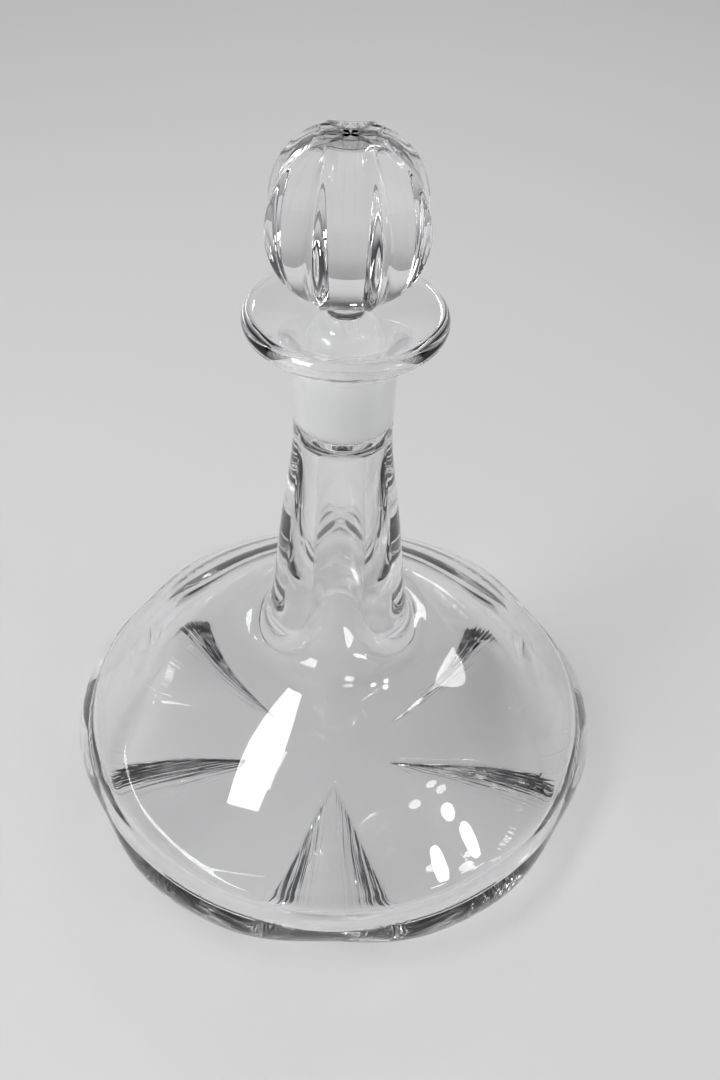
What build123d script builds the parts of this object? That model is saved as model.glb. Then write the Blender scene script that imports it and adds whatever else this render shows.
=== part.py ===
"""Ship's decanter in clear crystal: a squat six-lobed vessel and its lift-off panelled stopper.

Millimetres, +Z up along the axis of the vessel. The origin is the centre of the foot, on the
surface that the decanter stands on. A valley between two lobes faces the front, -Y.
"""
from build123d import *
import os
from math import atan, cos, degrees, pi, radians, sin, tan

# Body: a squat bowl with six lobes round its rim
LOBE_COUNT = 6
LOBE_RADIUS = 96.3            # axis to the crown of a lobe, at the girdle
VALLEY_DEPTH = 2.8            # how far a valley lies inside the lobes at the girdle
VALLEY_SHARPNESS = 2.2        # higher values give narrower valleys
GIRDLE_HEIGHT = 20.0          # the widest level, above the foot
RIM_ROUNDING = 18.0           # radius of the rim's vertical section
RIM_LOWER_ANGLE = 60.0        # the rounding runs this far below the girdle, in degrees
RIM_UPPER_ANGLE = 52.0        # and this far above it
SHOULDER_RADIUS = 58.0        # a point half way up the shoulder, where the lobes have faded out
SHOULDER_HEIGHT = 55.5

# Conical scoops ground into the underside, one below each valley
SCOOP_START_RADIUS = 25.0     # the point of each scoop, from the axis
SCOOP_RISE = 9.0              # slope of the scoop's roof, in degrees
SCOOP_HALF_ANGLE = 26.0       # half the angle of the wedge that it leaves in the foot

# Neck
ROOT_RADIUS = 28.5            # where the neck runs into the shoulder
ROOT_HEIGHT = 72.0
NECK_LOW_RADIUS = 21.6
NECK_LOW_HEIGHT = 100.0
NECK_MIDDLE_RADIUS = 17.6
NECK_MIDDLE_HEIGHT = 136.0
NECK_RADIUS = 15.4            # the narrowest level
NECK_DROP = 41.2              # its depth below the top of the lip
NECK_TOP_RADIUS = 15.9        # just below the lip
NECK_TOP_DROP = 23.2

# Lip: a wide dished flange with a rounded edge
LIP_RADIUS = 30.2
LIP_HEIGHT = 201.2            # the highest ring of the vessel
LIP_EDGE_ROUNDING = 2.9
LIP_EDGE_SLOPE = 22.0         # slope of the flange at its edge, in degrees from level
FLARE_SLOPE = 80.0            # slope where the flare starts, inside the wall of the neck
FLARE_START_RADIUS = 14.2

# Glass thickness and the hollow
BASE_THICKNESS = 10.0
FLOOR_RADIUS = 46.0           # the level part of the floor inside
RIM_THICKNESS = 8.8           # lobe's crown to the widest ring of the hollow
HOLLOW_WIDEST_HEIGHT = 24.0
RIM_TOP_THICKNESS = 7.6       # lobe's crown to the hollow, where the rim's rounding ends above
SHOULDER_THICKNESS = 6.2      # at the point half way up the shoulder, measured upright
ROOT_BORE_RADIUS = 13.4       # the bore where the neck opens into the bowl
BORE_LOW_RADIUS = 9.6
BORE_RADIUS = 7.8             # the narrowest, below the ground socket
FUNNEL_LENGTH = 5.0           # between the bore and the ground socket

# Ground taper joint between the neck and the stopper
DISH_DEPTH = 13.2             # top of the lip down to the mouth of the socket
MOUTH_RADIUS = 12.5           # radius of the socket there
SOCKET_LENGTH = 26.0
SOCKET_TAPER = 0.05           # loss of radius for each millimetre of depth
GROUND_CLEARANCE = 0.05       # radial gap left by the grinding

# Stopper, with heights measured up from the mouth: a panelled ball, a narrow waist, a rounded
# dome and a tapered plug
BALL_RADIUS = 22.6            # axis to the middle of a panel
BALL_CENTRE_RISE = 41.7
BALL_BOTTOM_RISE = 17.7       # level underside round the waist
TABLE_RISE = 66.0             # the flat ground on top of the ball
PANEL_HALF_HEIGHT = 25.8      # half axis of the ellipse that the four broad panels follow
GORE_HALF_HEIGHT = 26.9       # and of the taller one of the four gores between them
WAIST_RADIUS = 5.2
WAIST_RISE = 14.4             # the narrowest ring
DOME_RADIUS = 8.8             # shoulder of the dome, just below the waist
DOME_RISE = 10.0
DOME_SIDE_RADIUS = 11.2       # half way down the dome
DOME_SIDE_RISE = 5.2
PLUG_END_ROUNDING = 1.0
PLUG_END_GAP = 1.5            # the plug stops short of the socket's end

RINGS_ON_RIM = 6              # lobed sections that carry the skin of the body and neck
RINGS_ON_SHOULDER = 22
RING_POINTS_PER_LOBE = 6

MOUTH_HEIGHT = LIP_HEIGHT - DISH_DEPTH
NECK_TOP_HEIGHT = LIP_HEIGHT - NECK_TOP_DROP


def turned(angle, radius, height):
    """Point at an angle in degrees from the front, about +Z."""
    return (radius * sin(radians(angle)), -radius * cos(radians(angle)), height)


def rim_point(angle, inset=0.0):
    """Radius and height on the rim's rounding, or inset from it, at an angle above the girdle."""
    centre = LOBE_RADIUS - RIM_ROUNDING
    reach = RIM_ROUNDING - inset
    return (
        centre + reach * cos(radians(angle)),
        GIRDLE_HEIGHT + reach * sin(radians(angle)),
    )


def foot_radius():
    """Radius where the lower end of the rim's rounding, carried on straight, meets the foot."""
    low_radius, low_height = rim_point(-RIM_LOWER_ANGLE)
    return low_radius - low_height * tan(radians(RIM_LOWER_ANGLE))


def shoulder_curve():
    """Upright outline from the rim's rounding up to the narrowest level of the neck."""
    leaning_in = (-sin(radians(RIM_UPPER_ANGLE)), cos(radians(RIM_UPPER_ANGLE)))
    return Spline(
        rim_point(RIM_UPPER_ANGLE),
        (SHOULDER_RADIUS, SHOULDER_HEIGHT),
        (ROOT_RADIUS, ROOT_HEIGHT),
        (NECK_LOW_RADIUS, NECK_LOW_HEIGHT),
        (NECK_MIDDLE_RADIUS, NECK_MIDDLE_HEIGHT),
        (NECK_RADIUS, LIP_HEIGHT - NECK_DROP),
        tangents=[leaning_in, (0, 1)],
    )


def outline_stations():
    """Radius and height of every ring that carries the vessel's outer skin, from the foot up."""
    stations = [(foot_radius(), 0.0)]
    rim_arc = RIM_LOWER_ANGLE + RIM_UPPER_ANGLE
    stations += [rim_point(-RIM_LOWER_ANGLE + rim_arc * i / RINGS_ON_RIM) for i in range(RINGS_ON_RIM)]
    curve = shoulder_curve()
    for i in range(RINGS_ON_SHOULDER + 1):
        point = curve.position_at(i / RINGS_ON_SHOULDER)
        stations.append((point.X, point.Y))
    stations.append((NECK_TOP_RADIUS, NECK_TOP_HEIGHT))
    stations.append((NECK_TOP_RADIUS, (NECK_TOP_HEIGHT + MOUTH_HEIGHT) / 2))
    return stations


def valley_share(height):
    """How much of the valley depth is left at a height: all of it on the rim, none on the shoulder."""
    rim_top = rim_point(RIM_UPPER_ANGLE)[1]
    way_up = min(max((height - rim_top) / (SHOULDER_HEIGHT - rim_top), 0.0), 1.0)
    return (1 + cos(pi * way_up)) / 2


def lobed_ring(radius, height):
    """Closed section of the outer skin, drawn in at each valley."""
    depth = VALLEY_DEPTH * valley_share(height)
    count = LOBE_COUNT * RING_POINTS_PER_LOBE
    points = []
    for i in range(count):
        angle = 360 * i / count
        valley = ((1 + cos(radians(LOBE_COUNT * angle))) / 2) ** VALLEY_SHARPNESS
        points.append(turned(angle, radius - depth * valley, height))
    return Wire([Spline(*points, periodic=True)])


def body_skin():
    """Solid inside the outer surface of the bowl and neck."""
    return Solid.make_loft([lobed_ring(radius, height) for radius, height in outline_stations()])


def lip_flange():
    """Solid flange: its flared underside, rounded edge and dished top, down into the neck."""
    edge = (LIP_RADIUS - LIP_EDGE_ROUNDING, LIP_HEIGHT - LIP_EDGE_ROUNDING)
    slope = radians(LIP_EDGE_SLOPE)
    under = (edge[0] + LIP_EDGE_ROUNDING * sin(slope), edge[1] - LIP_EDGE_ROUNDING * cos(slope))
    over = (edge[0] - LIP_EDGE_ROUNDING * sin(slope), edge[1] + LIP_EDGE_ROUNDING * cos(slope))
    outermost = (LIP_RADIUS, edge[1])
    flare = (cos(radians(FLARE_SLOPE)), sin(radians(FLARE_SLOPE)))
    outward = (cos(slope), sin(slope))
    start = (FLARE_START_RADIUS, NECK_TOP_HEIGHT)
    outline = [
        Line((0, start[1]), start),
        Spline(start, under, tangents=[flare, outward]),
        ThreePointArc(under, outermost, over),
        Spline((MOUTH_RADIUS, MOUTH_HEIGHT), over, tangents=[flare, outward]),
        Line((MOUTH_RADIUS, MOUTH_HEIGHT), (0, MOUTH_HEIGHT)),
        Line((0, MOUTH_HEIGHT), (0, start[1])),
    ]
    return revolve(Plane.XZ * make_face(outline), Axis.Z)


def socket_radius(height):
    """Radius of the ground taper at a height."""
    return MOUTH_RADIUS - SOCKET_TAPER * (MOUTH_HEIGHT - height)


def hollow():
    """Everything inside the glass: ground socket, bore and bowl, open at the mouth."""
    widest = (LOBE_RADIUS - RIM_THICKNESS, HOLLOW_WIDEST_HEIGHT)
    socket_end = MOUTH_HEIGHT - SOCKET_LENGTH
    bore_top = socket_end - FUNNEL_LENGTH
    outline = [
        Line((0, BASE_THICKNESS), (FLOOR_RADIUS, BASE_THICKNESS)),
        Spline((FLOOR_RADIUS, BASE_THICKNESS), widest, tangents=[(1, 0), (0, 1)]),
        Spline(
            widest,
            rim_point(RIM_UPPER_ANGLE, RIM_TOP_THICKNESS),
            (SHOULDER_RADIUS, SHOULDER_HEIGHT - SHOULDER_THICKNESS),
            (ROOT_BORE_RADIUS, ROOT_HEIGHT),
            (BORE_LOW_RADIUS, NECK_LOW_HEIGHT),
            (BORE_RADIUS, bore_top),
            tangents=[(0, 1), (0, 1)],
        ),
        Line((BORE_RADIUS, bore_top), (socket_radius(socket_end), socket_end)),
        Line((socket_radius(socket_end), socket_end), (MOUTH_RADIUS, MOUTH_HEIGHT)),
        Line((MOUTH_RADIUS, MOUTH_HEIGHT), (MOUTH_RADIUS, LIP_HEIGHT)),
        Line((MOUTH_RADIUS, LIP_HEIGHT), (0, LIP_HEIGHT)),
        Line((0, LIP_HEIGHT), (0, BASE_THICKNESS)),
    ]
    return revolve(Plane.XZ * make_face(outline), Axis.Z)


def scoop():
    """Cone that grinds the front scoop: its roof rises outwards from a point in the foot.

    The cone's own half angle follows from the slope of its roof and the wedge it cuts in the foot.
    """
    rise = radians(SCOOP_RISE)
    half_angle = atan((1 / cos(radians(SCOOP_HALF_ANGLE)) - cos(rise)) / sin(rise))
    length = LOBE_RADIUS
    cone = Cone(0, length * tan(half_angle), length, align=(Align.CENTER, Align.CENTER, Align.MIN))
    tilt = 90 + degrees(half_angle) - SCOOP_RISE
    return Pos(0, -SCOOP_START_RADIUS, 0) * Rot(X=tilt) * cone


def vessel():
    """Bowl, neck and lip, all one piece of glass."""
    glass = Part() + body_skin() + lip_flange() - hollow()
    for i in range(LOBE_COUNT):
        glass -= Rot(Z=360 * i / LOBE_COUNT) * scoop()
    return glass


def ball_slab(half_height, angle):
    """Slab between two opposite panels, which are flat across and follow an upright ellipse."""
    reach = 2 * BALL_RADIUS
    low, high = MOUTH_HEIGHT + BALL_BOTTOM_RISE, MOUTH_HEIGHT + TABLE_RISE
    outline = Pos(0, MOUTH_HEIGHT + BALL_CENTRE_RISE) * Ellipse(half_height, BALL_RADIUS, rotation=90)
    outline &= Pos(0, (low + high) / 2) * Rectangle(2 * reach, high - low)
    return Rot(Z=angle) * extrude(Plane.XZ.offset(-reach) * outline, 2 * reach)


def ball():
    """Ball of four broad panels, facing front, sides and back, with pointed gores between them."""
    panels = ball_slab(PANEL_HALF_HEIGHT, 0) & ball_slab(PANEL_HALF_HEIGHT, 90)
    gores = ball_slab(GORE_HALF_HEIGHT, 45) & ball_slab(GORE_HALF_HEIGHT, 135)
    return panels & gores


def stem():
    """Waist, dome and ground plug below the ball."""
    plug_end = MOUTH_HEIGHT - SOCKET_LENGTH + PLUG_END_GAP
    end_radius = socket_radius(plug_end) - GROUND_CLEARANCE
    top_radius = MOUTH_RADIUS - GROUND_CLEARANCE
    waist = (WAIST_RADIUS, MOUTH_HEIGHT + WAIST_RISE)
    inside_ball = MOUTH_HEIGHT + BALL_CENTRE_RISE
    outline = [
        Line((0, plug_end), (end_radius, plug_end)),
        Line((end_radius, plug_end), (top_radius, MOUTH_HEIGHT)),
        Spline(
            (top_radius, MOUTH_HEIGHT),
            (DOME_SIDE_RADIUS, MOUTH_HEIGHT + DOME_SIDE_RISE),
            (DOME_RADIUS, MOUTH_HEIGHT + DOME_RISE),
            waist,
            tangents=[(0, 1), (0, 1)],
        ),
        Line(waist, (WAIST_RADIUS, inside_ball)),
        Line((WAIST_RADIUS, inside_ball), (0, inside_ball)),
        Line((0, inside_ball), (0, plug_end)),
    ]
    return revolve(Plane.XZ * make_face(outline), Axis.Z)


def stopper():
    """Solid crystal stopper in one piece."""
    glass = ball() + stem()
    end = glass.faces().sort_by(Axis.Z)[0].edges()
    return fillet(end, PLUG_END_ROUNDING)


def main():
    os.makedirs("parts", exist_ok=True)
    export_step(vessel(), "parts/vessel.step")
    export_step(stopper(), "parts/stopper.step")


main()
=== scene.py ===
"""Clear crystal ship's decanter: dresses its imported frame, laid out as an add-on.

Run as a script, it builds the smooth glass of both pieces over the frame, their crystal and
ground finishes, the pale floor, the lamps and the camera. Metres, +Z up, front towards -Y.
"""
from math import atan, atan2, cos, pi, radians, sin, sqrt, tan

import bpy
import numpy as np
from mathutils import Matrix, Vector


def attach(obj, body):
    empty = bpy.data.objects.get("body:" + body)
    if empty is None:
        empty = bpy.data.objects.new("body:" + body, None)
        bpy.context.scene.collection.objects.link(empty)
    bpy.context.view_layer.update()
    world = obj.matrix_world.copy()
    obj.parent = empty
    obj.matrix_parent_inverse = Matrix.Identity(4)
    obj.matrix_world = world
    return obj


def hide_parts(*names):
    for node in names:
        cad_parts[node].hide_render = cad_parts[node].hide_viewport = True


bl_info = {
    "name": "Ship's Decanter",
    "version": (1, 0, 0),
    "blender": (4, 5, 0),
    "location": "View3D > Sidebar > Decanter",
    "description": "Builds the glass, finishes and stage of a crystal ship's decanter over its frame",
    "category": "Object",
}

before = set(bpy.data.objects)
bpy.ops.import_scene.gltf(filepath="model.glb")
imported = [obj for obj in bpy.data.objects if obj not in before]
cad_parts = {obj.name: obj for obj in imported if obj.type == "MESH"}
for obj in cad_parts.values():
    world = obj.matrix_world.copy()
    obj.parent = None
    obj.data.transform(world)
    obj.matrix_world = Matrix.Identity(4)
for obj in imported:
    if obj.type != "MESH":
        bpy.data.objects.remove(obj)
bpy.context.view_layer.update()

MM = 0.001

# Bowl and rim, as in the frame
LOBES = 6
LOBE_RADIUS = 96.26 * MM
VALLEY_DEPTH = 2.8 * MM
VALLEY_SHARPNESS = 2.2
GIRDLE_HEIGHT = 20.0 * MM
RIM_ROUNDING = 18.0 * MM
RIM_LOWER_ANGLE = radians(60)
RIM_UPPER_ANGLE = radians(52)
SHOULDER = (58.0 * MM, 55.5 * MM)

# Scoops ground into the underside
SCOOP_START = 25.0 * MM
SCOOP_RISE = radians(9.0)
SCOOP_HALF_ANGLE = radians(26)
SCOOP_EDGE_SOFTNESS = 3.2 * MM

# Neck and lip
ROOT = (28.5 * MM, 72.0 * MM)
NECK_LOW = (21.6 * MM, 100.0 * MM)
NECK_MIDDLE = (17.6 * MM, 136.0 * MM)
NECK = (15.4 * MM, 160.0 * MM)
NECK_TOP = (15.9 * MM, 178.0 * MM)
LIP_RADIUS = 30.2 * MM
LIP_HEIGHT = 201.2 * MM
LIP_EDGE_ROUNDING = 2.9 * MM
LIP_EDGE_SLOPE = radians(22)
FLARE_SLOPE = radians(80)
FLARE_START = (14.2 * MM, 178.0 * MM)

# Hollow
BASE_THICKNESS = 10.0 * MM
FLOOR_RADIUS = 46.0 * MM
HOLLOW_WIDEST = (87.5 * MM, 24.0 * MM)
RIM_TOP_THICKNESS = 7.6 * MM
INNER_SHOULDER = (58.0 * MM, 49.3 * MM)
ROOT_BORE = (13.4 * MM, 72.0 * MM)
BORE_LOW = (9.6 * MM, 100.0 * MM)
BORE_TOP = (7.8 * MM, 157.0 * MM)

# Ground socket and plug
MOUTH = (12.5 * MM, 188.0 * MM)
SOCKET_END = 162.0 * MM
SOCKET_TAPER = 0.05
GROUND_CLEARANCE = 0.05 * MM

# Stopper
BALL_RADIUS = 22.6 * MM
PANEL_HOLLOW = 1.5 * MM
GORE_HOLLOW = 1.1 * MM
BALL_CENTRE = 229.7 * MM
BALL_BOTTOM = 205.7 * MM
TABLE = 254.0 * MM
PANEL_HALF_HEIGHT = 25.8 * MM
GORE_HALF_HEIGHT = 26.9 * MM
WAIST = (5.2 * MM, 202.4 * MM)
DOME = (8.8 * MM, 198.0 * MM)
DOME_SIDE = (11.2 * MM, 193.2 * MM)
PLUG_END = 163.5 * MM
PLUG_END_ROUNDING = 1.0 * MM
WAIST_FILLET = 0.5 * MM
BALL_EDGE_SOFTNESS = 0.8 * MM
TABLE_EDGE_SOFTNESS = 1.4 * MM
RIDGE_SHARPNESS = 90

# Rings of points along each stretch of the meshes
FOOT_RINGS = 34
FOOT_EDGE_RINGS = 8
RIM_RINGS = 40
SHOULDER_RINGS = 12
NECK_RINGS = 8
LIP_JOIN_RINGS = 4
LIP_UNDER_RINGS = 24
LIP_EDGE_RINGS = 14
DISH_RINGS = 16
SOCKET_RINGS = 12
FUNNEL_RINGS = 4
HOLLOW_ROOF_RINGS = 15
HOLLOW_FLOOR_RINGS = 24
HOLLOW_LEVEL_RINGS = 8
PLUG_END_RINGS = 8
TAPER_RINGS = 16
DOME_RINGS = 14
WAIST_RINGS = 6
BALL_RINGS = 70

# Columns of points round the meshes: they crowd towards the edges that they follow
SECTOR_CROWDING = 1.5
PANEL_CROWDING = 1.6
LEAST_EDGE_ANGLE = radians(7)
ROUND_EDGE_ANGLE = radians(16)
SMALL_ANGLE = 0.001
FLARE_CLEARANCE = 1.004

# Finishes: noises are given by their scale
GRIT_SCALE = 2600.0
GRIT_HEIGHT = 0.02 * MM
SWEEP_SCALE = 34.0
WAVE_SCALE = 55.0
RIPPLES_ROUND = 48.0
RIPPLES_OUTWARD = 40.0
GROUND_REACH = 13.2 * MM
GROUND_FADE = 0.3 * MM
PLUG_END_POLISH = 0.6 * MM
RIPPLES_FROM = (0.4 * MM, 1.5 * MM)
RIPPLES_TO = (8.5 * MM, 9.5 * MM)
FROST_ROUGHNESS = 0.7
MATT_LEAST = 0.85
MATT_SPREAD = 0.3
POLISH_LEAST = 0.4
POLISH_SPREAD = 1.2
FLOOR_CLOUD_SCALE = 9.0
FLOOR_ROUGHNESS = 0.6
FLOOR_ROUGHNESS_SPREAD = 0.15
FLOOR_SHEEN = 0.2

# Stage
FLOOR_REACH = 4.0
FLOOR_DROP = 0.05 * MM
BACKDROP_FADE = (0.08, 0.55)
LAMP_TARGET = (0, 0, 0.06)
MAIN_LAMP_PLACE = (-0.457, -0.222, 0.944)
MAIN_LAMP_LENGTHWISE = (-0.15, -0.4, -0.22)
MAIN_LAMP_SIZE = (0.23, 0.56)
ROUND_LAMP_PLACES = ((0.616, -0.358, 0.67), (0.7, -0.39, 0.585), (0.54, -0.54, 0.61))
ROUND_LAMP_SIZE = (0.085, 0.085)
ROUND_LAMP_SHARE = 0.06
BACK_LAMP_PLACE = (0.15, 0.8, 0.7)
BACK_LAMP_SIZE = (0.06, 0.12)
BACK_LAMP_SHARE = 0.15
CAMERA_PLACE = (0.0, -0.312075, 0.401074)
CAMERA_LENS = 42.47
CAMERA_SENSOR = 36.0
CAMERA_NEAREST = 0.01
CAMERA_PITCH = radians(42.920)
CAMERA_YAW = radians(1.234)
CAMERA_ROLL = radians(2.369)


# ---------------------------------------------------------------- curves and grids


def along(points, leaving, arriving, steps):
    """Points of a smooth curve through (radius, height) pairs, in `steps` parts to each span."""
    places = np.array(points)
    spans = np.linalg.norm(np.diff(places, axis=0), axis=1)
    rises = np.diff(places, axis=0) / spans[:, None]
    last = len(places) - 1
    system, known = np.eye(last + 1), np.zeros((last + 1, 2))
    known[0] = end_slope(leaving, rises, spans)
    known[last] = end_slope(arriving, rises[::-1], spans[::-1])
    for i in range(1, last):
        before, after = spans[i - 1], spans[i]
        system[i, i - 1 : i + 2] = after, 2 * (before + after), before
        known[i] = 3 * (after * rises[i - 1] + before * rises[i])
    slopes = np.linalg.solve(system, known)
    curve = []
    for i in range(last):
        for t in np.arange(steps) / steps:
            ends = (2 * t**3 - 3 * t**2 + 1) * places[i] + (3 * t**2 - 2 * t**3) * places[i + 1]
            bend = (t**3 - 2 * t**2 + t) * slopes[i] + (t**3 - t**2) * slopes[i + 1]
            curve.append(tuple(ends + spans[i] * bend))
    curve.append(tuple(places[last]))
    return curve


def end_slope(heading, rises, spans):
    """A curve's slope at its end, as strong as that of a parabola through its last three points."""
    pace = rises[0]
    if len(rises) > 1:
        pace = pace + (rises[0] - rises[1]) * spans[0] / (spans[0] + spans[1])
    return np.array(heading) * np.abs(pace).sum() / np.abs(heading).sum()


def straight(start, end, steps):
    """Evenly spaced points from start up to, but not including, end."""
    return [tuple(np.array(start) + (np.array(end) - np.array(start)) * i / steps) for i in range(steps)]


def soft_max(a, b, softness):
    """The larger of two heights, with a rounded change where they come nearer than the softness."""
    nearness = np.maximum(softness - np.abs(a - b), 0) / softness
    return np.maximum(a, b) + nearness**2 * softness / 4


def closed_grid(name, rings, low_pole, high_pole):
    """Mesh object whose rings of points run from one pole to the other, shaded smooth."""
    count = len(rings[0])
    points = [low_pole] + [tuple(p) for ring in rings for p in ring] + [high_pole]
    faces = [(0, 1 + (i + 1) % count, 1 + i) for i in range(count)]
    for k in range(len(rings) - 1):
        row, above = 1 + k * count, 1 + (k + 1) * count
        for i in range(count):
            j = (i + 1) % count
            faces.append((row + i, row + j, above + j, above + i))
    top, row = len(points) - 1, 1 + (len(rings) - 1) * count
    faces += [(row + i, row + (i + 1) % count, top) for i in range(count)]
    mesh = bpy.data.meshes.new(name)
    mesh.from_pydata(points, [], faces)
    mesh.polygons.foreach_set("use_smooth", np.ones(len(faces), bool))
    mesh.update()
    piece = bpy.data.objects.new(name, mesh)
    bpy.context.scene.collection.objects.link(piece)
    return piece


# ---------------------------------------------------------------- vessel


def rim_point(angle, inset=0.0):
    """Radius and height on the rim's rounding, or inset from it, at an angle above the girdle."""
    centre = LOBE_RADIUS - RIM_ROUNDING
    reach = RIM_ROUNDING - inset
    return (centre + reach * cos(angle), GIRDLE_HEIGHT + reach * sin(angle))


def valley_share(height):
    """All of the valley depth up to the rim's top, fading to none half way up the shoulder."""
    rim_top = rim_point(RIM_UPPER_ANGLE)[1]
    way_up = min(max((height - rim_top) / (SHOULDER[1] - rim_top), 0.0), 1.0)
    return (1 + cos(pi * way_up)) / 2


def cone_height(out, x):
    """Height of the scoop's cone above a point of the plan, from the cone's tip."""
    half = atan((1 / cos(SCOOP_HALF_ANGLE) - cos(SCOOP_RISE)) / sin(SCOOP_RISE))
    dip = half - SCOOP_RISE
    a = sin(dip) ** 2 - cos(half) ** 2
    b = -2 * out * cos(dip) * sin(dip)
    c = (out * cos(dip)) ** 2 - cos(half) ** 2 * (out**2 + x**2)
    return (-b - np.sqrt(np.maximum(b * b - 4 * a * c, 0))) / (2 * a)


def scoop_roof(x, y):
    """Height of the front scoop's roof above a point of the plan; it sinks below zero outside it."""
    out = -y - SCOOP_START
    bearing = np.arctan2(np.abs(x), out)
    inner = SCOOP_HALF_ANGLE - SMALL_ANGLE
    fall = cone_height(cos(inner), sin(inner)) / SMALL_ANGLE
    beyond = np.clip(bearing - SCOOP_HALF_ANGLE, 0, pi / 2)
    outside = -fall * np.hypot(out, x) * np.sin(beyond)
    return np.where(bearing < SCOOP_HALF_ANGLE, cone_height(out, x), outside)


def scoop_edge_angle(radius):
    """Angle from the front at which the front scoop's edge crosses a radius of the foot."""
    reach = max(radius, SCOOP_START)
    across = SCOOP_START * sin(SCOOP_HALF_ANGLE)
    edge = sqrt(reach**2 - across**2) - SCOOP_START * cos(SCOOP_HALF_ANGLE)
    return atan2(edge * sin(SCOOP_HALF_ANGLE), SCOOP_START + edge * cos(SCOOP_HALF_ANGLE))


def column_angles(bend, inner=14, outer=11):
    """Angles of a ring's points, six times from valley to valley, drawn together at each bend."""
    half = [bend * (1 - (1 - i / inner) ** SECTOR_CROWDING) for i in range(inner)]
    half += [bend + (pi / LOBES - bend) * (i / outer) ** SECTOR_CROWDING for i in range(outer)]
    sector = half + [2 * pi / LOBES - a for a in [pi / LOBES] + half[:0:-1]]
    return np.array([a + 2 * pi * k / LOBES for k in range(LOBES) for a in sector])


def outer_profile():
    """Radius and height of the outside, from the edge of the foot up to the lip's outer ring."""
    low = rim_point(-RIM_LOWER_ANGLE)
    foot = (low[0] - low[1] * tan(RIM_LOWER_ANGLE), 0.0)
    sweep = RIM_LOWER_ANGLE + RIM_UPPER_ANGLE
    arc = [rim_point(-RIM_LOWER_ANGLE + sweep * i / RIM_RINGS) for i in range(RIM_RINGS)]
    leaning_in = (-sin(RIM_UPPER_ANGLE), cos(RIM_UPPER_ANGLE))
    levels = [rim_point(RIM_UPPER_ANGLE), SHOULDER, ROOT, NECK_LOW, NECK_MIDDLE, NECK]
    rise = along(levels, leaning_in, (0, 1), SHOULDER_RINGS)
    return straight(foot, low, FOOT_EDGE_RINGS) + arc + rise


def lip_profile():
    """Radius and height from the top of the neck round the lip and down the dish to the mouth."""
    edge = (LIP_RADIUS - LIP_EDGE_ROUNDING, LIP_HEIGHT - LIP_EDGE_ROUNDING)
    outward = (cos(LIP_EDGE_SLOPE), sin(LIP_EDGE_SLOPE))
    flare = (cos(FLARE_SLOPE), sin(FLARE_SLOPE))

    def on_edge(angle):
        return (edge[0] + LIP_EDGE_ROUNDING * cos(angle), edge[1] + LIP_EDGE_ROUNDING * sin(angle))

    start, end = LIP_EDGE_SLOPE - pi / 2, LIP_EDGE_SLOPE + pi / 2
    under = along([FLARE_START, on_edge(start)], flare, outward, LIP_UNDER_RINGS)
    over = along([MOUTH, on_edge(end)], flare, outward, DISH_RINGS)
    neck = straight(NECK, NECK_TOP, NECK_RINGS)
    flared = [p for p in under if p[0] > NECK_TOP[0] * FLARE_CLEARANCE]
    joined = straight(NECK_TOP, flared[0], LIP_JOIN_RINGS)
    rounding = [on_edge(start + (end - start) * i / LIP_EDGE_RINGS) for i in range(1, LIP_EDGE_RINGS)]
    return neck[1:] + joined + flared + rounding + over[::-1]


def hollow_profile():
    """Radius and height from the mouth down the socket and bore, round the bowl to its floor."""
    socket_end = (MOUTH[0] - SOCKET_TAPER * (MOUTH[1] - SOCKET_END), SOCKET_END)
    socket = straight(MOUTH, socket_end, SOCKET_RINGS)[1:]
    socket += straight(socket_end, BORE_TOP, FUNNEL_RINGS)
    corner = rim_point(RIM_UPPER_ANGLE, RIM_TOP_THICKNESS)
    levels = [HOLLOW_WIDEST, corner, INNER_SHOULDER, ROOT_BORE, BORE_LOW, BORE_TOP]
    rise = along(levels, (0, 1), (0, 1), HOLLOW_ROOF_RINGS)
    floor = along([(FLOOR_RADIUS, BASE_THICKNESS), HOLLOW_WIDEST], (1, 0), (0, 1), HOLLOW_FLOOR_RINGS)
    level = straight((FLOOR_RADIUS, BASE_THICKNESS), (0.0, BASE_THICKNESS), HOLLOW_LEVEL_RINGS)
    return socket + rise[::-1] + floor[-2:0:-1] + level


def outside_ring(radius, height, settle):
    """Ring of the outside, lobed and scooped, its columns following the scoops' edges below."""
    bend = max(scoop_edge_angle(radius), LEAST_EDGE_ANGLE)
    bend += (ROUND_EDGE_ANGLE - bend) * settle
    angles = column_angles(bend)
    valley = ((1 + np.cos(LOBES * angles)) / 2) ** VALLEY_SHARPNESS
    foot_share = min(radius / (LOBE_RADIUS - RIM_ROUNDING), 1.0)
    radii = radius - VALLEY_DEPTH * valley_share(height) * valley * foot_share
    x, y = radii * np.sin(angles), -radii * np.cos(angles)
    z = np.full_like(x, height)
    if height < GIRDLE_HEIGHT:
        folded = (angles + pi / LOBES) % (2 * pi / LOBES) - pi / LOBES
        roof = scoop_roof(radii * np.sin(folded), -radii * np.cos(folded))
        z = soft_max(z, roof, SCOOP_EDGE_SOFTNESS)
    return np.stack([x, y, z], 1)


def inside_ring(radius, height):
    """Round ring of the lip or the hollow."""
    angles = column_angles(ROUND_EDGE_ANGLE)
    return np.stack([radius * np.sin(angles), -radius * np.cos(angles), np.full_like(angles, height)], 1)


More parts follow.
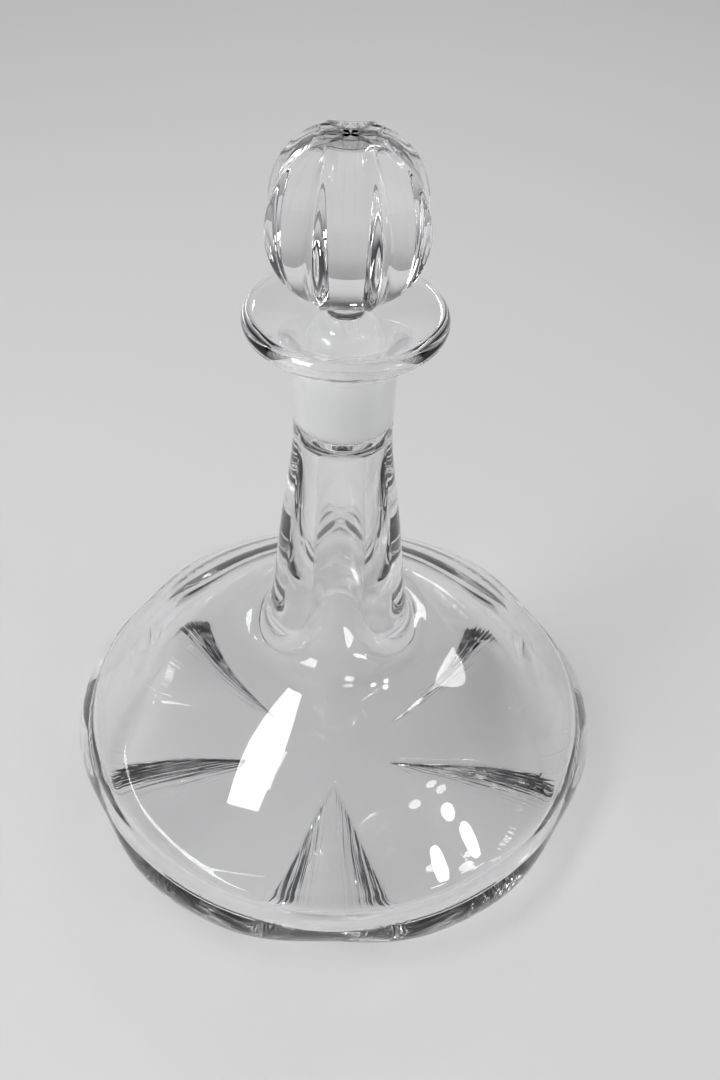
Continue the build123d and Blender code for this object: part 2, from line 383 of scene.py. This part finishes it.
def vessel_glass():
    """Bowl, neck and lip as one closed skin, from the middle of the foot to the bowl's floor."""
    outer = outer_profile()
    foot = straight((0.0, 0.0), outer[0], FOOT_RINGS)[1:]
    rings = []
    for radius, height in foot + outer:
        settle = min(max((height - GIRDLE_HEIGHT) / (SHOULDER[1] - GIRDLE_HEIGHT), 0.0), 1.0)
        rings.append(outside_ring(radius, height, settle))
    for radius, height in lip_profile()[:-1] + [MOUTH] + hollow_profile():
        rings.append(inside_ring(radius, height))
    return closed_grid("decanter_vessel", rings, (0, 0, 0), (0, 0, BASE_THICKNESS))


# ---------------------------------------------------------------- stopper


def panel_columns(ridge, inner=12, outer=9):
    """Angles round a ball ring, drawn together at the ridges either side of each broad panel."""
    half = [ridge * (1 - (1 - i / inner) ** PANEL_CROWDING) for i in range(inner)]
    half += [ridge + (pi / 4 - ridge) * (i / outer) ** PANEL_CROWDING for i in range(outer)]
    quarter = half + [pi / 2 - a for a in [pi / 4] + half[:0:-1]]
    return np.array([a + pi / 2 * k for k in range(4) for a in quarter])


def ball_ring(height):
    """Level section of the ball: broad, slightly hollowed panels and gores that meet in ridges."""
    off_centre = height - BALL_CENTRE
    panel = BALL_RADIUS * sqrt(1 - (off_centre / PANEL_HALF_HEIGHT) ** 2)
    gore = BALL_RADIUS * sqrt(1 - (off_centre / GORE_HALF_HEIGHT) ** 2)
    ridge = atan2(sqrt(2) * gore - panel, panel)
    angles = panel_columns(ridge)
    crowding = np.zeros_like(angles)
    for k in range(8):
        reach = panel if k % 2 == 0 else gore
        facing = np.maximum(np.cos(angles - pi / 4 * k), 0) / reach
        crowding += (facing * panel) ** RIDGE_SHARPNESS
    radii = panel * crowding ** (-1 / RIDGE_SHARPNESS)
    from_panel = np.abs((angles + pi / 4) % (pi / 2) - pi / 4)
    across_panel = np.tan(np.minimum(from_panel, ridge)) / tan(ridge)
    across_gore = np.tan(np.minimum(pi / 4 - from_panel, pi / 4 - ridge)) / tan(pi / 4 - ridge)
    hollow = PANEL_HOLLOW * (1 - across_panel**2) + GORE_HOLLOW * (1 - across_gore**2)
    radii -= hollow * panel / BALL_RADIUS
    level = -soft_max(-soft_max(height, BALL_BOTTOM, BALL_EDGE_SOFTNESS), -TABLE, TABLE_EDGE_SOFTNESS)
    return np.stack([radii * np.sin(angles), -radii * np.cos(angles), np.full_like(angles, level)], 1)


def stem_ring(radius, height):
    """Round ring of the plug, dome or waist."""
    angles = panel_columns(pi / 8)
    return np.stack([radius * np.sin(angles), -radius * np.cos(angles), np.full_like(angles, height)], 1)


def plug_profile():
    """Radius and height from the plug's end up the taper and dome to the top of the waist."""
    end_radius = MOUTH[0] - SOCKET_TAPER * (MOUTH[1] - PLUG_END) - GROUND_CLEARANCE
    centre = (end_radius - PLUG_END_ROUNDING, PLUG_END + PLUG_END_ROUNDING)
    rounding = []
    for i in range(PLUG_END_RINGS):
        turn = pi / 2 * i / PLUG_END_RINGS
        out, down = PLUG_END_ROUNDING * sin(turn), PLUG_END_ROUNDING * cos(turn)
        rounding.append((centre[0] + out, centre[1] - down))
    top = (MOUTH[0] - GROUND_CLEARANCE, MOUTH[1])
    taper = straight((end_radius, centre[1]), top, TAPER_RINGS)
    dome = along([top, DOME_SIDE, DOME, WAIST], (0, 1), (0, 1), DOME_RINGS)
    neck_up = straight(WAIST, (WAIST[0], BALL_BOTTOM - WAIST_FILLET), WAIST_RINGS)
    fillet = []
    for i in range(WAIST_RINGS + 1):
        turn = pi / 2 * i / WAIST_RINGS
        out, down = WAIST_FILLET * (1 - cos(turn)), WAIST_FILLET * (1 - sin(turn))
        fillet.append((WAIST[0] + out, BALL_BOTTOM - down))
    end = straight((0.0, PLUG_END), (centre[0], PLUG_END), PLUG_END_RINGS)[1:]
    return end + rounding + taper + dome[:-1] + neck_up + fillet


def stopper_glass():
    """Plug, dome, waist and panelled ball as one closed skin."""
    rings = [stem_ring(*p) for p in plug_profile()]
    low, high = BALL_BOTTOM - BALL_EDGE_SOFTNESS, TABLE + TABLE_EDGE_SOFTNESS
    for i in range(BALL_RINGS + 1):
        rings.append(ball_ring(low + (high - low) * (1 - cos(pi * i / BALL_RINGS)) / 2))
    return closed_grid("decanter_stopper", rings, (0, 0, PLUG_END), (0, 0, TABLE))


# ---------------------------------------------------------------- finishes


class Wire:
    """A shader value, so that sums on it can be written as plain Python and become Math nodes."""

    def __init__(self, nodes, socket):
        self.nodes, self.socket = nodes, socket

    def _sum(self, operation, first, second=0.0):
        return self.nodes.add("ShaderNodeMath", {"operation": operation}, {0: first, 1: second})

    def __add__(self, other):
        return self._sum("ADD", self, other)

    def __radd__(self, other):
        return self._sum("ADD", other, self)

    def __sub__(self, other):
        return self._sum("SUBTRACT", self, other)

    def __rsub__(self, other):
        return self._sum("SUBTRACT", other, self)

    def __mul__(self, other):
        return self._sum("MULTIPLY", self, other)

    def __rmul__(self, other):
        return self._sum("MULTIPLY", other, self)

    def __pow__(self, other):
        return self._sum("POWER", self, other)

    def __gt__(self, other):
        return self._sum("GREATER_THAN", self, other)

    def __lt__(self, other):
        return self._sum("LESS_THAN", self, other)


class Nodes:
    """The node tree of a material or world, with one way to add any node."""

    def __init__(self, owner):
        owner.use_nodes = True
        self.tree = owner.node_tree
        self.tree.nodes.clear()

    def add(self, kind, settings=None, inputs=None, output=0):
        """Add a node, set it up, feed its inputs, and return one of its outputs."""
        node = self.tree.nodes.new(kind)
        for name, value in (settings or {}).items():
            setattr(node, name, value)
        for key, value in (inputs or {}).items():
            if isinstance(value, Wire):
                self.tree.links.new(value.socket, node.inputs[key])
            else:
                node.inputs[key].default_value = value
        return Wire(self, node.outputs[output]) if len(node.outputs) else None

    def ease(self, value, start, end):
        """0 up to start, 1 from end, and a soft change between them."""
        return self.add(
            "ShaderNodeMapRange",
            {"interpolation_type": "SMOOTHSTEP"},
            {"Value": value, "From Min": start, "From Max": end},
        )

    def place(self):
        """Position on the object, its bearing and distance from the upright axis, and its height."""
        spot = self.add("ShaderNodeTexCoord", output="Object")
        split = self.add("ShaderNodeSeparateXYZ", inputs={0: spot}).socket.node
        x, y, z = (Wire(self, split.outputs[k]) for k in range(3))
        level = self.add("ShaderNodeCombineXYZ", inputs={0: x, 1: y})
        bearing = self.add("ShaderNodeVectorMath", {"operation": "NORMALIZE"}, {0: level})
        return spot, bearing, (x * x + y * y) ** 0.5, z


def crystal(name, ground_low, ground_high, look):
    """Polished crystal with a ground, matt band between two heights, near the upright axis."""
    material = bpy.data.materials.new(name)
    nodes = Nodes(material)
    spot, bearing, radius, height = nodes.place()
    band = nodes.ease(height, ground_low - GROUND_FADE, ground_low + GROUND_FADE)
    band = band * (1 - nodes.ease(height, ground_high - GROUND_FADE, ground_high + GROUND_FADE))
    band = band * (radius < GROUND_REACH)
    grit = nodes.add("ShaderNodeTexNoise", inputs={"Vector": spot, "Scale": GRIT_SCALE, "Detail": 2.0})
    sweep = nodes.add("ShaderNodeTexNoise", inputs={"Vector": spot, "Scale": SWEEP_SCALE, "Detail": 1.0})
    matt = look.ground_roughness * (MATT_LEAST + MATT_SPREAD * grit)
    polished = look.polish * (POLISH_LEAST + POLISH_SPREAD * sweep)
    roughness = polished + band * (matt - polished)
    wave = nodes.add("ShaderNodeTexNoise", inputs={"Vector": spot, "Scale": WAVE_SCALE, "Detail": 0.0})
    outward = nodes.add(
        "ShaderNodeVectorMath",
        {"operation": "SCALE"},
        {0: bearing, "Scale": RIPPLES_ROUND},
    )
    apart = nodes.add("ShaderNodeCombineXYZ", inputs={2: radius * RIPPLES_OUTWARD})
    along_cut = nodes.add("ShaderNodeVectorMath", {"operation": "ADD"}, {0: outward, 1: apart})
    ripple = nodes.add("ShaderNodeTexNoise", inputs={"Vector": along_cut, "Scale": 1.0, "Detail": 1.0})
    cut = nodes.ease(height, *RIPPLES_FROM) * (1 - nodes.ease(height, *RIPPLES_TO))
    rise = wave * look.wave_height + cut * ripple * look.ripple_height + band * grit * GRIT_HEIGHT
    relief = nodes.add(
        "ShaderNodeBump",
        inputs={"Strength": 1.0, "Distance": 1.0, "Height": rise},
        output="Normal",
    )
    glass = nodes.add(
        "ShaderNodeBsdfPrincipled",
        inputs={
            "Base Color": (*look.crystal_colour, 1.0),
            "Roughness": roughness,
            "IOR": look.ior,
            "Transmission Weight": 1.0,
            "Normal": relief,
        },
    )
    frost = nodes.add(
        "ShaderNodeBsdfPrincipled",
        inputs={"Base Color": (*look.frost_colour, 1.0), "Roughness": FROST_ROUGHNESS},
    )
    body = nodes.add("ShaderNodeMixShader", inputs={0: band * look.frost_share, 1: glass, 2: frost})
    clear = nodes.add("ShaderNodeBsdfTransparent", inputs={"Color": (look.lamp_share,) * 3 + (1.0,)})
    for_lamps = nodes.add("ShaderNodeLightPath", output="Is Shadow Ray")
    lit_through = nodes.add("ShaderNodeMixShader", inputs={0: for_lamps, 1: body, 2: clear})
    nodes.add("ShaderNodeOutputMaterial", inputs={"Surface": lit_through})
    return material


def pale_floor(look):
    """Matt pale floor with the faint unevenness of a painted board."""
    material = bpy.data.materials.new("pale_floor")
    nodes = Nodes(material)
    spot = nodes.add("ShaderNodeTexCoord", output="Object")
    cloud = nodes.add(
        "ShaderNodeTexNoise",
        inputs={"Vector": spot, "Scale": FLOOR_CLOUD_SCALE, "Detail": 3.0},
    )
    board = nodes.add(
        "ShaderNodeBsdfPrincipled",
        inputs={
            "Base Color": (*look.floor_colour, 1.0),
            "Roughness": FLOOR_ROUGHNESS + FLOOR_ROUGHNESS_SPREAD * cloud,
            "Specular IOR Level": FLOOR_SHEEN,
        },
    )
    nodes.add("ShaderNodeOutputMaterial", inputs={"Surface": board})
    return material


# ---------------------------------------------------------------- add-on


class DecanterLook(bpy.types.PropertyGroup):
    """Colours and finishes of the glass."""

    crystal_colour: bpy.props.FloatVectorProperty(
        name="Crystal",
        description="Tint of the clear glass",
        subtype="COLOR",
        default=(0.98, 0.98, 0.98),
        min=0,
        max=1,
    )
    frost_colour: bpy.props.FloatVectorProperty(
        name="Ground white",
        description="Colour of the ground glass",
        subtype="COLOR",
        default=(0.97, 0.975, 0.97),
        min=0,
        max=1,
    )
    ior: bpy.props.FloatProperty(
        name="Refraction",
        description="Index of refraction",
        default=1.54,
        min=1.0,
        max=2.0,
    )
    ground_roughness: bpy.props.FloatProperty(
        name="Ground roughness",
        description="Roughness of the ground taper",
        subtype="FACTOR",
        default=0.5,
        min=0,
        max=1,
    )
    frost_share: bpy.props.FloatProperty(
        name="Ground white share",
        description="How milky the ground taper is",
        subtype="FACTOR",
        default=0.9,
        min=0,
        max=1,
    )
    lamp_share: bpy.props.FloatProperty(
        name="Light let through",
        description="Share of the lamps' light that each surface lets through",
        subtype="FACTOR",
        default=0.7,
        min=0,
        max=1,
    )
    polish: bpy.props.FloatProperty(
        name="Polish",
        description="Roughness of the polished glass",
        subtype="FACTOR",
        default=0.004,
        min=0,
        max=1,
    )
    wave_height: bpy.props.FloatProperty(
        name="Waviness",
        description="Height of the fire-polished glass's waves",
        subtype="DISTANCE",
        unit="LENGTH",
        default=0.03 * MM,
        min=0,
        precision=5,
    )
    ripple_height: bpy.props.FloatProperty(
        name="Cutting ripples",
        description="Height of the ripples that the scoops' cutting left",
        subtype="DISTANCE",
        unit="LENGTH",
        default=0.3 * MM,
        min=0,
        precision=5,
    )


class StageLook(bpy.types.PropertyGroup):
    """Colours of the floor and the room, and the strength of the lamps."""

    floor_colour: bpy.props.FloatVectorProperty(
        name="Floor",
        description="Colour of the floor",
        subtype="COLOR",
        default=(0.62, 0.62, 0.625),
        min=0,
        max=1,
    )
    sky_low: bpy.props.FloatVectorProperty(
        name="Horizon",
        description="Colour of the backdrop at the horizon",
        subtype="COLOR",
        default=(0.64, 0.64, 0.65),
        min=0,
        max=1,
    )
    sky_high: bpy.props.FloatVectorProperty(
        name="Overhead",
        description="Colour of the room overhead",
        subtype="COLOR",
        default=(0.03, 0.03, 0.035),
        min=0,
        max=1,
    )
    room_light: bpy.props.FloatVectorProperty(
        name="Room light",
        description="Light of the room on matt surfaces",
        subtype="COLOR",
        default=(0.58, 0.58, 0.585),
        min=0,
        max=1,
    )
    lamp_power: bpy.props.FloatProperty(
        name="Lamps",
        description="Power of the main softbox",
        subtype="POWER",
        unit="POWER",
        default=5.2,
        min=0,
    )


class DECANTER_OT_vessel(bpy.types.Operator):
    """Build the vessel's glass over the frame"""

    bl_idname = "decanter.vessel"
    bl_label = "Vessel"

    def execute(self, context):
        look = context.scene.decanter_look
        piece = vessel_glass()
        piece.data.materials.append(crystal("vessel_crystal_look", SOCKET_END, MOUTH[1], look))
        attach(piece, "decanter")
        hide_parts("vessel")
        return {"FINISHED"}


class DECANTER_OT_stopper(bpy.types.Operator):
    """Build the stopper's glass over the frame"""

    bl_idname = "decanter.stopper"
    bl_label = "Stopper"

    def execute(self, context):
        look = context.scene.decanter_look
        piece = stopper_glass()
        ground_low = PLUG_END + PLUG_END_POLISH
        piece.data.materials.append(crystal("stopper_crystal_look", ground_low, MOUTH[1], look))
        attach(piece, "stopper")
        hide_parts("stopper")
        return {"FINISHED"}


class DECANTER_OT_stage(bpy.types.Operator):
    """Lay the pale floor and set up the backdrop, lamps and camera"""

    bl_idname = "decanter.stage"
    bl_label = "Stage"

    def execute(self, context):
        look = context.scene.decanter_stage
        lay_floor(look)
        hang_backdrop(context.scene, look)
        hang_lamps(look)
        set_camera(context.scene)
        context.scene.view_settings.view_transform = "Standard"
        # Solid glass turns black where Cycles drops a ray that is still being reflected inside it
        context.scene.cycles.glossy_bounces = context.scene.cycles.max_bounces
        return {"FINISHED"}


class DECANTER_PT_panel(bpy.types.Panel):
    """Sidebar list of the decanter's builders and looks"""

    bl_idname = "DECANTER_PT_panel"
    bl_label = "Ship's Decanter"
    bl_space_type = "VIEW_3D"
    bl_region_type = "UI"
    bl_category = "Decanter"

    def draw(self, context):
        for builder in (DECANTER_OT_vessel, DECANTER_OT_stopper, DECANTER_OT_stage):
            self.layout.operator(builder.bl_idname)
        for group in (context.scene.decanter_look, context.scene.decanter_stage):
            for name in group.__annotations__:
                self.layout.prop(group, name)


def lay_floor(look):
    """Wide pale floor under the foot."""
    mesh = bpy.data.meshes.new("floor")
    corners = [(FLOOR_REACH * x, FLOOR_REACH * y, 0) for x, y in ((-1, -1), (1, -1), (1, 1), (-1, 1))]
    mesh.from_pydata(corners, [], [(0, 1, 2, 3)])
    floor = bpy.data.objects.new("floor", mesh)
    bpy.context.scene.collection.objects.link(floor)
    floor.location.z = -FLOOR_DROP
    mesh.materials.append(pale_floor(look))


def hang_backdrop(scene, look):
    """Room that is pale at the horizon and dark overhead, but lights matt surfaces evenly."""
    scene.world = bpy.data.worlds.new("studio")
    nodes = Nodes(scene.world)
    direction = nodes.add("ShaderNodeTexCoord", output="Generated")
    upright = nodes.add("ShaderNodeSeparateXYZ", inputs={0: direction}, output=2)
    shade = nodes.add(
        "ShaderNodeMix",
        {"data_type": "RGBA"},
        {0: nodes.ease(upright, *BACKDROP_FADE), 6: (*look.sky_low, 1.0), 7: (*look.sky_high, 1.0)},
        output=2,
    )
    matt = nodes.add("ShaderNodeLightPath", output="Diffuse Depth") > 0.5
    shade = nodes.add(
        "ShaderNodeMix",
        {"data_type": "RGBA"},
        {0: matt, 6: shade, 7: (*look.room_light, 1.0)},
        output=2,
    )
    light = nodes.add("ShaderNodeBackground", inputs={"Color": shade, "Strength": 1.0})
    nodes.add("ShaderNodeOutputWorld", inputs={"Surface": light})


def softbox(name, place, long_side, size, power, shape="RECTANGLE"):
    """Area lamp that faces the decanter, with its length along a direction."""
    lamp = bpy.data.lights.new(name, "AREA")
    lamp.shape = shape
    lamp.size, lamp.size_y = size
    lamp.energy = power
    away = (Vector(place) - Vector(LAMP_TARGET)).normalized()
    across = Vector(long_side).cross(away).normalized()
    holder = bpy.data.objects.new(name, lamp)
    turn = Matrix((across, away.cross(across), away)).transposed().to_4x4()
    holder.matrix_world = Matrix.Translation(place) @ turn
    bpy.context.scene.collection.objects.link(holder)


def hang_lamps(look):
    """Main softbox high on the left, three small round lamps on the right and a small one behind."""
    power = look.lamp_power
    softbox("main_softbox", MAIN_LAMP_PLACE, MAIN_LAMP_LENGTHWISE, MAIN_LAMP_SIZE, power)
    for k, place in enumerate(ROUND_LAMP_PLACES):
        name = f"right_lamp_{k + 1}"
        softbox(name, place, (0, 0, 1), ROUND_LAMP_SIZE, power * ROUND_LAMP_SHARE, "ELLIPSE")
    softbox("back_strip", BACK_LAMP_PLACE, (1, 0, 0), BACK_LAMP_SIZE, power * BACK_LAMP_SHARE)


def set_camera(scene):
    """Camera in front and well above, looking down at the decanter."""
    lens = bpy.data.cameras.new("camera")
    lens.lens = CAMERA_LENS
    lens.sensor_width = CAMERA_SENSOR
    lens.clip_start = CAMERA_NEAREST
    camera = bpy.data.objects.new("camera", lens)
    pitch, yaw, roll = CAMERA_PITCH, CAMERA_YAW, CAMERA_ROLL
    ahead = Vector((sin(yaw) * cos(pitch), cos(yaw) * cos(pitch), -sin(pitch)))
    level = Vector((cos(yaw), -sin(yaw), 0))
    above = level.cross(ahead)
    right = level * cos(roll) + above * sin(roll)
    up = above * cos(roll) - level * sin(roll)
    turn = Matrix((right, up, -ahead)).transposed().to_4x4()
    camera.matrix_world = Matrix.Translation(CAMERA_PLACE) @ turn
    scene.collection.objects.link(camera)
    scene.camera = camera


CLASSES = (
    DecanterLook,
    StageLook,
    DECANTER_OT_vessel,
    DECANTER_OT_stopper,
    DECANTER_OT_stage,
    DECANTER_PT_panel,
)


def register():
    for part in CLASSES:
        bpy.utils.register_class(part)
    bpy.types.Scene.decanter_look = bpy.props.PointerProperty(type=DecanterLook)
    bpy.types.Scene.decanter_stage = bpy.props.PointerProperty(type=StageLook)


def unregister():
    del bpy.types.Scene.decanter_stage
    del bpy.types.Scene.decanter_look
    for part in reversed(CLASSES):
        bpy.utils.unregister_class(part)


def main():
    register()
    bpy.ops.decanter.vessel()
    bpy.ops.decanter.stopper()
    bpy.ops.decanter.stage()


if __name__ == "__main__":
    main()
